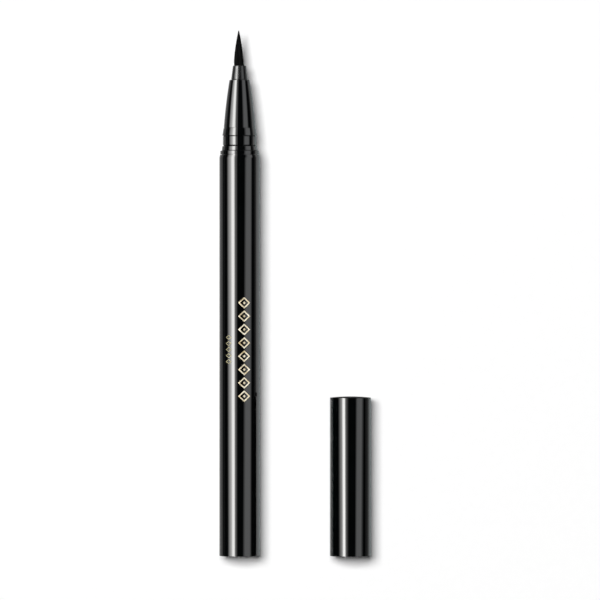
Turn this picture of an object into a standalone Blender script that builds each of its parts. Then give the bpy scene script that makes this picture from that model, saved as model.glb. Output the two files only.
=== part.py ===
"""A liquid eyeliner: a free-ink brush pen, and its cap lying beside it.

The pen lies along +Y with its brush pointing to +Y, and the cap lies at its +X side, its mouth
level with the pen's tail. Both touch the plane Z = 0, and the origin is on that plane under the
middle of the two. Each piece is a child of the pen's or the cap's axis, an empty whose Z runs
from the tail to the tip and which stands at the tail or at the cap's mouth.
"""

import math

import bmesh
import bpy

MM = 0.001

# Clearances
FIT_GAP = 0.1 * MM  # radial, between a piece and the bore it is pressed into
SEAM_GAP = 0.1 * MM  # along the axis, at a seam that shows
SEAT_GAP = 0.2 * MM  # along the axis, between inner pieces
CAP_CLEARANCE = 0.11 * MM  # radial, between the capped pen and the cap
OVERRUN = 0.2 * MM  # how far a cutter or a joined shape passes a face
MERGE_DISTANCE = 0.001 * MM
FLAT_SHARE = 0.9999  # of a normal's length, along the axis, on a flat end

# Barrel
BARREL_LENGTH = 99.5 * MM
BARREL_RADIUS = 5.0 * MM
BARREL_WALL = 0.5 * MM
SHOULDER_DROP = 0.2 * MM
SHOULDER_LENGTH = 0.7 * MM
TAIL_ROUND = 0.25 * MM

# Tail plug
TAIL_DISC_LENGTH = 1.2 * MM
TAIL_PLUG_LENGTH = 8.0 * MM
TAIL_BARB_HEIGHT = 0.15 * MM
TAIL_BARB_LENGTH = 0.45 * MM
TAIL_BARB_PITCH = 1.8 * MM
TAIL_BARB_COUNT = 3
TAIL_CHAMFER = 0.2 * MM

# Neck sleeve: stop flange, collar, neck and snap ring in front, a skirt inside the barrel
SKIRT_LENGTH = 9.5 * MM
SKIRT_WALL = 0.7 * MM
SHOULDER_SETBACK = 0.9 * MM
STOP_FLANGE_LENGTH = 0.9 * MM
STOP_FLANGE_SETBACK = 0.02 * MM
COLLAR_LENGTH = 1.1 * MM
COLLAR_TAPER = 0.11 * MM
NECK_LENGTH = 2.4 * MM
NECK_DROP = 0.28 * MM
NECK_WALL = 1.1 * MM
NECK_GROOVE_WIDTH = 0.2 * MM
NECK_GROOVE_DEPTH = 0.1 * MM
SNAP_RING_LENGTH = 2.1 * MM
SNAP_RING_HEIGHT = 0.13 * MM
SNAP_RING_TAPER = 0.27 * MM
EDGE_CHAMFER = 0.1 * MM

# Front cone
CONE_LENGTH = 12.1 * MM
CONE_STEP = 0.06 * MM
CONE_BULGE = 0.13 * MM
CONE_SPIGOT_LENGTH = 5.6 * MM
CONE_CAVITY_WALL = 0.8 * MM
CONE_WEB = 1.0 * MM
CONE_ROUND = 0.15 * MM

# Brush, its ferrule and its retaining collar, each radius built up from the bristles
BRUSH_RADIUS = 1.25 * MM
BRUSH_LENGTH = 8.5 * MM
BRUSH_ROOT_DEPTH = 0.5 * MM
BRUSH_LEAN = 0.35 * MM
BRUSH_FLANGE_LENGTH = 0.8 * MM
BRUSH_FLANGE_RIM = 0.22 * MM
BRUSH_COLLAR_LENGTH = 0.9 * MM
FERRULE_LENGTH = 3.6 * MM
FERRULE_LIP = 0.3 * MM
FERRULE_TAPER = 0.44 * MM
FERRULE_STEP = 0.34 * MM
FERRULE_ROUND = 0.15 * MM
STEM_LENGTH = 4.5 * MM
STEM_WALL = 0.26 * MM
STRAND_COUNT = 300
STRAND_SIDES = 3
STRAND_FILL_SHARE = 0.8  # of the room between neighbouring bristles
STRAND_KNOT_SHARES = (0.45, 0.93)  # of the brush's length, where a bristle bends and where it ends
BRUSH_TAPER_POWER = 1.55

# Ink system
TANK_RADIUS = 3.4 * MM
TANK_WALL = 1.2 * MM
TANK_FLOOR = 1.0 * MM
BELL_FLARE_LENGTH = 1.2 * MM
TANK_PLUG_DISC_LENGTH = 2.0 * MM
TANK_PLUG_SPIGOT_LENGTH = 3.0 * MM
GASKET_LENGTH = 0.8 * MM
CORE_RADIUS = 0.8 * MM
CORE_DIP = 2.0 * MM
CORE_CHAMFER = 0.2 * MM
BALL_RADIUS = 1.5 * MM
BALL_END_CLEARANCE = 0.5 * MM

# Collector
SPINE_WALL = 0.6 * MM
FIN_COUNT = 18
FIN_PITCH = 1.3 * MM
FIN_THICKNESS = 0.6 * MM
COLLECTOR_COLLAR_LENGTH = 1.6 * MM
INK_SLIT_WIDTH = 0.3 * MM
INK_SLIT_BITE = 0.15 * MM  # how far the slit goes into the spine
AIR_NOTCH_WIDTH = 1.2 * MM
AIR_NOTCH_DEPTH = 0.7 * MM

# Cap
CAP_RADIUS = 5.1 * MM
CROWN_THICKNESS = 1.2 * MM
CROWN_RISE = 0.35 * MM
CROWN_ROUND = 0.25 * MM
MOUTH_CHAMFER = 0.12 * MM
SNAP_BITE = 0.08 * MM
SNAP_BEAD_LENGTH = 0.5 * MM
SNAP_BEAD_RAMP = 0.3 * MM
LINER_RADIUS = 4.2 * MM
LINER_LEAD = 0.8 * MM

# Inner cap and its spring
INNER_BORE_RADIUS = 3.0 * MM
INNER_WALL = 0.4 * MM
INNER_FLANGE_RIM = 0.3 * MM
INNER_FLANGE_LENGTH = 0.8 * MM
INNER_END = 1.0 * MM
INNER_PRELOAD = 1.9 * MM  # how far the closed cap pushes the inner cap back
TIP_CLEARANCE = 0.7 * MM
LIP_CHAMFER = 0.2 * MM
SPRING_ROOM = 8.5 * MM
SPRING_RADIUS = 2.6 * MM
SPRING_TURNS = 7
WIRE_RADIUS = 0.2 * MM
BOSS_HEIGHT = 1.3 * MM

# The cap's place beside the pen
AXIS_SPACING = 27.5 * MM

# Facets and colours
LARGE_SIDES = 32
SMALL_SIDES = 24
COMB_SIDES = 20
CORE_SIDES = 16
COIL_POINTS = 9
ROUND_STEPS = 3
CONE_STEPS = 7
CROWN_STEPS = 2
BLACK = (0.006, 0.007, 0.009)
SOFT_BLACK = (0.03, 0.032, 0.035)
BRUSH_BLACK = (0.012, 0.011, 0.012)
MILKY = (0.72, 0.74, 0.73)
WHITE = (0.85, 0.85, 0.83)
RUBBER = (0.05, 0.05, 0.055)
STEEL = (0.62, 0.63, 0.65)
FIBRE = (0.16, 0.15, 0.16)

# Radii that follow from the sizes above, from the barrel inwards
barrel_bore = BARREL_RADIUS - BARREL_WALL
barrel_mouth_radius = BARREL_RADIUS - SHOULDER_DROP
skirt_radius = barrel_bore - FIT_GAP
chamber_radius = skirt_radius - SKIRT_WALL
collar_front_radius = skirt_radius - COLLAR_TAPER
neck_radius = skirt_radius - NECK_DROP
ring_back_radius = neck_radius + SNAP_RING_HEIGHT
ring_front_radius = ring_back_radius - SNAP_RING_TAPER
cone_back_radius = ring_front_radius - CONE_STEP
spigot_bore = neck_radius - NECK_WALL
tank_bore = TANK_RADIUS - TANK_WALL
core_bore = CORE_RADIUS + FIT_GAP

# Radii from the bristles outwards
ferrule_bore = BRUSH_RADIUS + FIT_GAP
ferrule_front_radius = ferrule_bore + FERRULE_LIP
ferrule_back_radius = ferrule_front_radius + FERRULE_TAPER
cone_front_radius = ferrule_back_radius + FERRULE_STEP
brush_flange_radius = BRUSH_RADIUS + BRUSH_FLANGE_RIM
counterbore_radius = brush_flange_radius + FIT_GAP
stem_radius = counterbore_radius + STEM_WALL

# Places along the pen, from its tail
flange_back = BARREL_LENGTH + SEAM_GAP
collar_back = flange_back + STOP_FLANGE_LENGTH
neck_back = collar_back + COLLAR_LENGTH
ring_back = neck_back + NECK_LENGTH
sleeve_front = ring_back + SNAP_RING_LENGTH
cone_back = sleeve_front + SEAM_GAP
cone_front = cone_back + CONE_LENGTH
ferrule_back = cone_front + SEAM_GAP
ferrule_front = ferrule_back + FERRULE_LENGTH
brush_tip = ferrule_front + BRUSH_LENGTH
sleeve_back = flange_back - SKIRT_LENGTH
chamber_shoulder = flange_back - SHOULDER_SETBACK
gasket_back = sleeve_back - SEAM_GAP - GASKET_LENGTH
tank_front = gasket_back - SEAM_GAP
tank_back = TAIL_DISC_LENGTH + SEAT_GAP
collector_length = FIN_COUNT * FIN_PITCH + COLLECTOR_COLLAR_LENGTH
collector_back = chamber_shoulder - SEAT_GAP - collector_length
plug_disc_back = collector_back - SEAT_GAP - TANK_PLUG_DISC_LENGTH
bell_floor = plug_disc_back - SEAT_GAP
plug_spigot_back = plug_disc_back - TANK_PLUG_SPIGOT_LENGTH
core_back = plug_spigot_back - CORE_DIP
cone_spigot_back = sleeve_front - CONE_SPIGOT_LENGTH
stem_back = ferrule_back - STEM_LENGTH
brush_flange_back = stem_back + BRUSH_COLLAR_LENGTH + SEAT_GAP
brush_root = ferrule_front - BRUSH_ROOT_DEPTH


def cone_share_at(radius):
    """Where along the cone, as a share of its length from the front, it reaches this radius."""
    rise = cone_back_radius - cone_front_radius
    bow = 4 * CONE_BULGE
    need = radius - cone_front_radius
    return ((rise + bow) - math.sqrt((rise + bow) ** 2 - 4 * bow * need)) / (2 * bow)


# Places in the cap, from its mouth, which stands on the stop flange when the pen is capped
ring_depth = ring_back - collar_back
ring_end_depth = sleeve_front - collar_back
seat_depth = cone_front - collar_back - CONE_LENGTH * cone_share_at(INNER_BORE_RADIUS)
tip_depth = brush_tip - collar_back
inner_rim = seat_depth - INNER_PRELOAD
inner_length = tip_depth - seat_depth + TIP_CLEARANCE + INNER_END
inner_back = inner_rim + inner_length
crown_inner = inner_back + SPRING_ROOM
cap_length = crown_inner + CROWN_THICKNESS
liner_front = inner_rim - LINER_LEAD
liner_back = crown_inner - SEAT_GAP
ledge = inner_back - INNER_FLANGE_LENGTH - SEAT_GAP

# Radii in the cap
mouth_bore = skirt_radius + CAP_CLEARANCE
snap_bore = ring_back_radius + CAP_CLEARANCE
snap_bead_radius = ring_back_radius - SNAP_BITE
cap_bore = LINER_RADIUS + FIT_GAP
inner_radius = INNER_BORE_RADIUS + INNER_WALL
guide_bore = inner_radius + FIT_GAP
inner_flange_radius = inner_radius + INNER_FLANGE_RIM
pocket_radius = inner_flange_radius + FIT_GAP
boss_radius = SPRING_RADIUS - WIRE_RADIUS - FIT_GAP


def new_collection(name):
    collection = bpy.data.collections.new(name)
    bpy.context.scene.collection.children.link(collection)
    return collection


def new_material(name, colour, roughness, metallic=0.0):
    material = bpy.data.materials.new(name)
    material.use_nodes = True
    surface = material.node_tree.nodes["Principled BSDF"]
    surface.inputs["Base Color"].default_value = (*colour, 1.0)
    surface.inputs["Roughness"].default_value = roughness
    surface.inputs["Metallic"].default_value = metallic
    material.diffuse_color = (*colour, 1.0)
    return material


def add_axis(name, x, y, z):
    """An empty whose Z lies along the world's +Y."""
    axis = bpy.data.objects.new(name, None)
    axis.location = (x, y, z)
    axis.rotation_euler = (math.radians(-90), 0, 0)
    bpy.context.scene.collection.objects.link(axis)
    return axis


def place(obj, collection, parent, at, material):
    collection.objects.link(obj)
    obj.parent = parent
    obj.location = (0, 0, at)
    if material:
        obj.data.materials.append(material)


def merge_ends(mesh):
    """Make one face of each flat end that is turned as a fan about the axis."""
    shape = bmesh.new()
    shape.from_mesh(mesh)
    shape.normal_update()
    hubs = [
        vertex
        for vertex in shape.verts
        if vertex.co.xy.length < MERGE_DISTANCE
        and all(abs(face.normal.z) > FLAT_SHARE for face in vertex.link_faces)
    ]
    bmesh.ops.dissolve_verts(shape, verts=hubs)
    shape.to_mesh(mesh)
    shape.free()


def settle(obj):
    """Apply an object's modifiers, and shade its round faces smooth."""
    bpy.context.view_layer.update()
    graph = bpy.context.evaluated_depsgraph_get()
    mesh = bpy.data.meshes.new_from_object(obj.evaluated_get(graph))
    obj.modifiers.clear()
    obj.data = mesh
    merge_ends(mesh)
    mesh.shade_smooth()
    mesh.set_sharp_from_angle(angle=math.radians(35))


def turned(name, outline, sides):
    """A mesh object turned about Z from (radius, height) points.

    The outline runs down the outer side and back up the inner one. It is closed if it is a
    tube's, and it stays open if it starts and ends on the axis.
    """
    count = len(outline)
    edges = [(i, i + 1) for i in range(count - 1)]
    if outline[0][0] > 0:
        edges.append((count - 1, 0))
    mesh = bpy.data.meshes.new(name)
    mesh.from_pydata([(radius, 0, height) for radius, height in outline], edges, [])
    obj = bpy.data.objects.new(name, mesh)
    screw = obj.modifiers.new("turn", "SCREW")
    screw.steps = sides
    screw.render_steps = sides
    screw.use_merge_vertices = True
    screw.merge_threshold = MERGE_DISTANCE
    return obj


def arc(radius, height, size_out, size_up, start, end):
    """Points of a quarter round about (radius, height), from one angle to another, in degrees."""
    points = []
    for i in range(ROUND_STEPS + 1):
        angle = math.radians(start + (end - start) * i / ROUND_STEPS)
        points.append((radius + size_out * math.cos(angle), height + size_up * math.sin(angle)))
    return points


def join(obj, other):
    """Fuse other into obj, and remove it."""
    boolean = obj.modifiers.new("join", "BOOLEAN")
    boolean.operation = "UNION"
    boolean.object = other
    settle(obj)
    bpy.data.objects.remove(other)


def cut(obj, cutter):
    boolean = obj.modifiers.new("cut", "BOOLEAN")
    boolean.operation = "DIFFERENCE"
    boolean.object = cutter


def box_cutter(name, centre, size, parent, at):
    mesh = bpy.data.meshes.new(name)
    shape = bmesh.new()
    bmesh.ops.create_cube(shape, size=1)
    bmesh.ops.scale(shape, vec=size, verts=shape.verts)
    bmesh.ops.translate(shape, vec=centre, verts=shape.verts)
    shape.to_mesh(mesh)
    shape.free()
    cutter = bpy.data.objects.new(name, mesh)
    place(cutter, cutters, parent, at, None)
    cutter.hide_render = True
    cutter.display_type = "WIRE"
    return cutter


def make_barrel():
    mouth = BARREL_LENGTH
    outline = [(barrel_mouth_radius, mouth)]
    outline += arc(
        barrel_mouth_radius, mouth - SHOULDER_LENGTH, SHOULDER_DROP, SHOULDER_LENGTH, 60, 0
    )
    outline += arc(BARREL_RADIUS - TAIL_ROUND, TAIL_ROUND, TAIL_ROUND, TAIL_ROUND, 0, -90)
    outline += [
        (barrel_bore + EDGE_CHAMFER, 0),
        (barrel_bore, EDGE_CHAMFER),
        (barrel_bore, mouth - EDGE_CHAMFER),
        (barrel_bore + EDGE_CHAMFER, mouth),
    ]
    barrel = turned("barrel", outline, LARGE_SIDES)
    place(barrel, parts, pen_axis, 0, gloss_black)
    settle(barrel)


def make_tail_plug():
    """A cup flush with the barrel's end, barbed outside, whose bore holds the tank's end."""
    rim = barrel_bore - FIT_GAP
    root = rim - TAIL_BARB_HEIGHT
    socket = TANK_RADIUS + FIT_GAP
    outline = [
        (0, TAIL_DISC_LENGTH),
        (socket, TAIL_DISC_LENGTH),
        (socket, TAIL_PLUG_LENGTH),
        (root, TAIL_PLUG_LENGTH),
    ]
    for i in reversed(range(TAIL_BARB_COUNT)):
        barb = TAIL_DISC_LENGTH + (i + 1) * TAIL_BARB_PITCH
        outline += [(root, barb), (rim, barb - TAIL_BARB_HEIGHT), (root, barb - TAIL_BARB_LENGTH)]
    outline += [
        (root, TAIL_DISC_LENGTH),
        (rim, TAIL_DISC_LENGTH - TAIL_BARB_HEIGHT),
        (rim, TAIL_CHAMFER),
        (rim - TAIL_CHAMFER, 0),
        (0, 0),
    ]
    plug = turned("tail_plug", outline, SMALL_SIDES)
    place(plug, parts, pen_axis, 0, soft_black)
    settle(plug)


def make_ink_tank():
    """A narrow tank closed at the tail, which opens into a bell for the collector."""
    length = tank_front - tank_back
    floor = bell_floor - tank_back
    flare = floor - (TANK_WALL - SKIRT_WALL)
    outline = [
        (0, TANK_FLOOR),
        (tank_bore, TANK_FLOOR),
        (tank_bore, floor),
        (chamber_radius, floor),
        (chamber_radius, length),
        (skirt_radius, length),
        (skirt_radius, flare),
        (TANK_RADIUS, flare - BELL_FLARE_LENGTH),
        (TANK_RADIUS, TAIL_CHAMFER),
        (TANK_RADIUS - TAIL_CHAMFER, 0),
        (0, 0),
    ]
    tank = turned("ink_tank", outline, SMALL_SIDES)
    place(tank, parts, pen_axis, tank_back, milky_plastic)
    settle(tank)


def make_tank_plug():
    """The stopper between the tank and the collector, which grips the feed core."""
    length = TANK_PLUG_SPIGOT_LENGTH + TANK_PLUG_DISC_LENGTH
    disc = chamber_radius - FIT_GAP
    spigot = tank_bore - FIT_GAP
    outline = [
        (disc, length),
        (disc, TANK_PLUG_SPIGOT_LENGTH),
        (spigot, TANK_PLUG_SPIGOT_LENGTH),
        (spigot, EDGE_CHAMFER),
        (spigot - EDGE_CHAMFER, 0),
        (core_bore, 0),
        (core_bore, length),
    ]
    plug = turned("tank_plug", outline, SMALL_SIDES)
    place(plug, parts, pen_axis, plug_spigot_back, white_plastic)
    settle(plug)


def make_tank_gasket():
    outline = [
        (skirt_radius, GASKET_LENGTH),
        (skirt_radius, 0),
        (chamber_radius, 0),
        (chamber_radius, GASKET_LENGTH),
    ]
    gasket = turned("tank_gasket", outline, SMALL_SIDES)
    place(gasket, parts, pen_axis, gasket_back, rubber)
    settle(gasket)


def make_mixing_ball():
    """The loose ball, lying on the tank's lower wall near the tail."""
    mesh = bpy.data.meshes.new("mixing_ball")
    shape = bmesh.new()
    bmesh.ops.create_uvsphere(
        shape, u_segments=CORE_SIDES, v_segments=CORE_SIDES // 2, radius=BALL_RADIUS
    )
    shape.to_mesh(mesh)
    shape.free()
    mesh.shade_smooth()
    ball = bpy.data.objects.new("mixing_ball", mesh)
    at = tank_back + TANK_FLOOR + BALL_END_CLEARANCE + BALL_RADIUS
    place(ball, parts, pen_axis, at, steel)
    ball.location.y = tank_bore - BALL_RADIUS - FIT_GAP


def make_feed_core():
    """The fibre rod that carries ink from the tank to the brush."""
    length = brush_flange_back - SEAT_GAP - core_back
    outline = [
        (0, length),
        (CORE_RADIUS - CORE_CHAMFER, length),
        (CORE_RADIUS, length - CORE_CHAMFER),
        (CORE_RADIUS, CORE_CHAMFER),
        (CORE_RADIUS - CORE_CHAMFER, 0),
        (0, 0),
    ]
    core = turned("feed_core", outline, CORE_SIDES)
    place(core, parts, pen_axis, core_back, fibre)
    settle(core)


def make_collector():
    """A comb of fins on a bored spine, with an ink slit on one side and an air notch on the other."""
    fin_radius = chamber_radius - FIT_GAP
    spine_radius = core_bore + SPINE_WALL
    outline = [(fin_radius, collector_length), (fin_radius, FIN_COUNT * FIN_PITCH)]
    for i in reversed(range(FIN_COUNT)):
        fin = i * FIN_PITCH
        outline += [
            (spine_radius, fin + FIN_PITCH),
            (spine_radius, fin + FIN_THICKNESS),
            (fin_radius, fin + FIN_THICKNESS),
            (fin_radius, fin),
        ]
    outline += [(core_bore, 0), (core_bore, collector_length)]
    collector = turned("collector", outline, COMB_SIDES)
    place(collector, parts, pen_axis, collector_back, white_plastic)
    settle(collector)

    # The slit ends just inside the spine, and the notch runs along the rims of the fins.
    run = collector_length + 2 * OVERRUN
    middle = collector_length / 2
    slit_depth = fin_radius - spine_radius + INK_SLIT_BITE
    slit = box_cutter(
        "ink_slit",
        (0, -(fin_radius - slit_depth / 2 + OVERRUN / 2), middle),
        (INK_SLIT_WIDTH, slit_depth + OVERRUN, run),
        pen_axis,
        collector_back,
    )
    notch = box_cutter(
        "air_notch",
        (0, fin_radius - AIR_NOTCH_DEPTH / 2 + OVERRUN / 2, middle),
        (AIR_NOTCH_WIDTH, AIR_NOTCH_DEPTH + OVERRUN, run),
        pen_axis,
        collector_back,
    )
    cut(collector, slit)
    cut(collector, notch)


def make_neck_sleeve():
    """The middle joint: it plugs the barrel, stops the cap and snaps it on."""
    length = sleeve_front - sleeve_back
    ring = ring_back - sleeve_back
    neck = neck_back - sleeve_back
    collar = collar_back - sleeve_back
    flange_radius = barrel_mouth_radius - STOP_FLANGE_SETBACK
    outline = [
        (ring_front_radius - EDGE_CHAMFER, length),
        (ring_front_radius, length - EDGE_CHAMFER),
        (ring_back_radius, ring + EDGE_CHAMFER),
        (ring_back_radius, ring),
        (neck_radius, ring),
        (neck_radius, neck + NECK_GROOVE_WIDTH),
        (neck_radius - NECK_GROOVE_DEPTH, neck + NECK_GROOVE_WIDTH),
        (neck_radius - NECK_GROOVE_DEPTH, neck),
        (collar_front_radius - EDGE_CHAMFER, neck),
        (collar_front_radius, neck - EDGE_CHAMFER),
        (skirt_radius, collar),
        (flange_radius - EDGE_CHAMFER, collar),
        (flange_radius, collar - EDGE_CHAMFER),
        (flange_radius, SKIRT_LENGTH),
        (skirt_radius, SKIRT_LENGTH),
        (skirt_radius, EDGE_CHAMFER),
        (skirt_radius - EDGE_CHAMFER, 0),
        (chamber_radius, 0),
        (chamber_radius, chamber_shoulder - sleeve_back),
        (spigot_bore, chamber_shoulder - sleeve_back),
        (spigot_bore, length - EDGE_CHAMFER),
        (spigot_bore + EDGE_CHAMFER, length),
    ]
    sleeve = turned("neck_sleeve", outline, LARGE_SIDES)
    place(sleeve, parts, pen_axis, sleeve_back, gloss_black)
    settle(sleeve)


def make_front_cone():
    """The hollow tapered nose: its spigot plugs the neck sleeve, and its socket takes the ferrule."""
    base = cone_back - cone_spigot_back
    length = cone_front - cone_spigot_back
    ferrule_floor = stem_back - SEAT_GAP - cone_spigot_back
    ferrule_socket = stem_radius + FIT_GAP
    spigot_radius = spigot_bore - FIT_GAP
    cavity_radius = spigot_radius - CONE_CAVITY_WALL
    web_back = ferrule_floor - CONE_WEB
    outline = arc(
        cone_front_radius - CONE_ROUND, length - CONE_ROUND, CONE_ROUND, CONE_ROUND, 90, 0
    )
    for i in range(1, CONE_STEPS + 1):
        share = i / CONE_STEPS
        straight = cone_front_radius + (cone_back_radius - cone_front_radius) * share
        bow = 4 * CONE_BULGE * share * (1 - share)
        outline.append((straight + bow, length - CONE_LENGTH * share))
    outline += [
        (spigot_radius, base),
        (spigot_radius, EDGE_CHAMFER),
        (spigot_radius - EDGE_CHAMFER, 0),
        (cavity_radius, 0),
        (cavity_radius, web_back),
        (core_bore, web_back),
        (core_bore, ferrule_floor),
        (ferrule_socket, ferrule_floor),
        (ferrule_socket, length),
    ]
    cone = turned("front_cone", outline, LARGE_SIDES)
    place(cone, parts, pen_axis, cone_spigot_back, gloss_black)
    settle(cone)


def make_brush_ferrule():
    """The small tapered sleeve round the brush's root, on a stem inside the cone."""
    length = STEM_LENGTH + FERRULE_LENGTH
    shoulder = brush_flange_back + BRUSH_FLANGE_LENGTH + SEAT_GAP - stem_back
    outline = arc(
        ferrule_front_radius - FERRULE_ROUND,
        length - FERRULE_ROUND,
        FERRULE_ROUND,
        FERRULE_ROUND,
        90,
        0,
    )
    outline += [
        (ferrule_back_radius, STEM_LENGTH + EDGE_CHAMFER),
        (ferrule_back_radius - EDGE_CHAMFER, STEM_LENGTH),
        (stem_radius, STEM_LENGTH),
        (stem_radius, 0),
        (counterbore_radius, 0),
        (counterbore_radius, shoulder),
        (ferrule_bore, shoulder),
        (ferrule_bore, length),
    ]
    ferrule = turned("brush_ferrule", outline, SMALL_SIDES)
    place(ferrule, parts, pen_axis, stem_back, satin_black)
    settle(ferrule)


def make_brush_collar():
    """The ring pressed into the stem behind the brush's root, round the feed core."""
    outline = [
        (brush_flange_radius, BRUSH_COLLAR_LENGTH),
        (brush_flange_radius, 0),
        (core_bore, 0),
        (core_bore, BRUSH_COLLAR_LENGTH),
    ]
    collar = turned("brush_collar", outline, CORE_SIDES)
    place(collar, parts, pen_axis, stem_back, white_plastic)
    settle(collar)


def brush_scale(share):
    """The bundle's radius as a share of its root's, this share of the way to the tip."""
    return 1 - max(share, 0) ** BRUSH_TAPER_POWER


def add_bristle(shape, index, root):
    """One tapered bristle, whose place in the bundle follows a sunflower's spiral."""
    turn = index * math.radians(137.508)
    spread = math.sqrt((index + 0.5) / STRAND_COUNT)
    strand_radius = STRAND_FILL_SHARE * BRUSH_RADIUS * 0.5 * math.sqrt(math.pi / STRAND_COUNT)
    orbit = (BRUSH_RADIUS - strand_radius) * spread
    start = -(BRUSH_ROOT_DEPTH + OVERRUN) / BRUSH_LENGTH
    shares = [start, *STRAND_KNOT_SHARES]
    if index == 0:
        shares.append(1.0)
    rings = []
    for share in shares:
        scale = brush_scale(min(share, STRAND_KNOT_SHARES[-1]))
        lean = BRUSH_LEAN * max(share, 0) ** 2
        height = root + BRUSH_ROOT_DEPTH + BRUSH_LENGTH * share
        ring = []
        for i in range(STRAND_SIDES):
            angle = turn + math.tau * i / STRAND_SIDES
            x = scale * (orbit * math.cos(turn) + strand_radius * math.cos(angle)) - lean
            y = scale * (orbit * math.sin(turn) + strand_radius * math.sin(angle))
            ring.append(shape.verts.new((x, y, height)))
        rings.append(ring)
    shape.faces.new(reversed(rings[0]))
    shape.faces.new(rings[-1])
    for low, high in zip(rings, rings[1:]):
        for i in range(STRAND_SIDES):
            j = (i + 1) % STRAND_SIDES
            shape.faces.new((low[i], low[j], high[j], high[i]))


def make_brush():
    """Bristles fused to the round slice that glues their roots, with a flange at its back."""
    root = brush_root - brush_flange_back
    outline = [
        (0, root),
        (BRUSH_RADIUS, root),
        (BRUSH_RADIUS, BRUSH_FLANGE_LENGTH),
        (brush_flange_radius, BRUSH_FLANGE_LENGTH),
        (brush_flange_radius, 0),
        (0, 0),
    ]
    brush = turned("brush", outline, SMALL_SIDES)
    place(brush, parts, pen_axis, brush_flange_back, brush_black)
    settle(brush)

    mesh = bpy.data.meshes.new("bristles")
    shape = bmesh.new()
    for index in range(STRAND_COUNT):
        add_bristle(shape, index, root)
    shape.to_mesh(mesh)
    shape.free()
    bristles = bpy.data.objects.new("bristles", mesh)
    place(bristles, parts, pen_axis, brush_flange_back, brush_black)
    join(brush, bristles)


def make_cap_shell():
    """The closed tube of the cap, with its snap bead inside the mouth and a boss for the spring."""
    edge = cap_length - CROWN_RISE
    bead_end = ring_depth - SEAM_GAP
    bead_start = bead_end - SNAP_BEAD_LENGTH - 2 * SNAP_BEAD_RAMP
    mouth_end = COLLAR_LENGTH + SEAT_GAP
    crown_edge = CAP_RADIUS - CROWN_ROUND
    outline = []
    for i in range(CROWN_STEPS):
        share = i / CROWN_STEPS
        outline.append((crown_edge * share, edge + CROWN_RISE * (1 - share**2)))
    outline += arc(crown_edge, edge - CROWN_ROUND, CROWN_ROUND, CROWN_ROUND, 90, 0)
    outline += [
        (CAP_RADIUS, MOUTH_CHAMFER),
        (CAP_RADIUS - MOUTH_CHAMFER, 0),
        (mouth_bore + MOUTH_CHAMFER, 0),
        (mouth_bore, MOUTH_CHAMFER),
        (mouth_bore, mouth_end),
        (snap_bore, mouth_end),
        (snap_bore, bead_start),
        (snap_bead_radius, bead_start + SNAP_BEAD_RAMP),
        (snap_bead_radius, bead_end - SNAP_BEAD_RAMP),
        (snap_bore, bead_end),
        (snap_bore, ring_end_depth),
        (cap_bore, ring_end_depth),
        (cap_bore, crown_inner),
        (boss_radius, crown_inner),
        (boss_radius, crown_inner - BOSS_HEIGHT),
        (0, crown_inner - BOSS_HEIGHT),
    ]
    shell = turned("cap_shell", outline, LARGE_SIDES)
    place(shell, parts, cap_axis, 0, gloss_black)
    settle(shell)


def make_cap_liner():
    """The sleeve that guides the inner cap and stops its flange."""
    length = liner_back - liner_front
    stop = ledge - liner_front
    outline = [
        (LINER_RADIUS, length),
        (LINER_RADIUS, EDGE_CHAMFER),
        (LINER_RADIUS - EDGE_CHAMFER, 0),
        (guide_bore + LIP_CHAMFER, 0),
        (guide_bore, LIP_CHAMFER),
        (guide_bore, stop),
        (pocket_radius, stop),
        (pocket_radius, length),
    ]
    liner = turned("cap_liner", outline, LARGE_SIDES)
    place(liner, parts, cap_axis, liner_front, white_plastic)
    settle(liner)


def make_inner_cap():
    """The sprung cup whose rim seals on the cone, round the brush."""
    floor = inner_length - INNER_END
    flange = inner_length - INNER_FLANGE_LENGTH
    outline = [
        (0, inner_length + BOSS_HEIGHT),
        (boss_radius, inner_length + BOSS_HEIGHT),
        (boss_radius, inner_length),
        (inner_flange_radius, inner_length),
        (inner_flange_radius, flange),
        (inner_radius, flange),
        (inner_radius, 0),
        (INNER_BORE_RADIUS + LIP_CHAMFER, 0),
        (INNER_BORE_RADIUS, LIP_CHAMFER),
        (INNER_BORE_RADIUS, floor),
        (0, floor),
    ]
    inner = turned("inner_cap", outline, LARGE_SIDES)
    place(inner, parts, cap_axis, inner_rim, milky_plastic)
    settle(inner)


def make_spring():
    """A coil with even turns, between the inner cap and the crown."""
    length = SPRING_ROOM - 2 * SEAT_GAP - 2 * WIRE_RADIUS
    count = SPRING_TURNS * COIL_POINTS + 1
    curve = bpy.data.curves.new("inner_cap_spring", "CURVE")
    curve.dimensions = "3D"
    curve.bevel_depth = WIRE_RADIUS
    curve.bevel_resolution = 1
    curve.use_fill_caps = True
    curve.twist_mode = "Z_UP"
    spline = curve.splines.new("POLY")
    spline.points.add(count - 1)
    points = []
    for i in range(count):
        angle = math.tau * i / COIL_POINTS
        height = WIRE_RADIUS + length * i / (count - 1)
        points.append((SPRING_RADIUS * math.cos(angle), SPRING_RADIUS * math.sin(angle), height))
        spline.points[i].co = (*points[i], 1)
    spring = bpy.data.objects.new("inner_cap_spring", curve)
    place(spring, parts, cap_axis, inner_back + SEAT_GAP, steel)
    least = min(
        math.dist(a, b) for i, a in enumerate(points) for b in points[i + COIL_POINTS - 1 :]
    )
    print(f"inner_cap_spring: least gap to itself {(least - 2 * WIRE_RADIUS) / MM:.2f} mm")


for old in list(bpy.data.objects):
    bpy.data.objects.remove(old)
parts = new_collection("eyeliner")
cutters = new_collection("cutters")

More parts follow.
